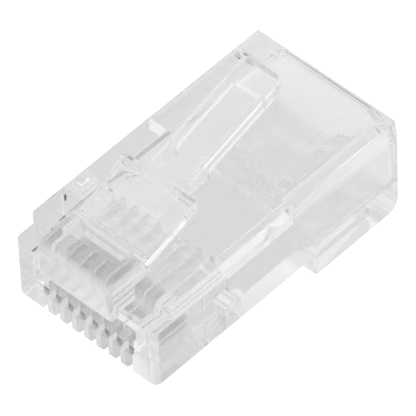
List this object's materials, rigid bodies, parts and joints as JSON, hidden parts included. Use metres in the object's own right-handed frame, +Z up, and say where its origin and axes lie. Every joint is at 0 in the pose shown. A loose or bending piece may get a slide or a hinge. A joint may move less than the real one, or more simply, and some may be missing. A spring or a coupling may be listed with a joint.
{
  "type": "modular plug",
  "caption": "Clear moulded modular plug with a comb of contact slots, wire channels, a cable cavity, strain-relief bars and a sprung latch that locks it into a jack.",
  "frame": {"origin": "under the middle of the plug, on the level of the cable section's underside", "axes": "+Y from the nose to the cable end, +X across the plug, +Z up towards the latch"},
  "size_m": [0.0116, 0.0226, 0.0131],
  "materials": {
    "clear_polycarbonate": "clear moulded polycarbonate, gloss"
  },
  "bodies": {
    "housing": {"housing": "clear_polycarbonate"},
    "latch": {"latch": "clear_polycarbonate"}
  },
  "joints": [
    {"name": "latch_flex", "type": "hinge", "parent": "housing", "child": "latch", "pos_m": [0, -0.00765, 0.00875], "axis": [1, 0, 0], "range_deg": [-13, 0], "stiffness_Nm_per_rad": 0.12}
  ]
}
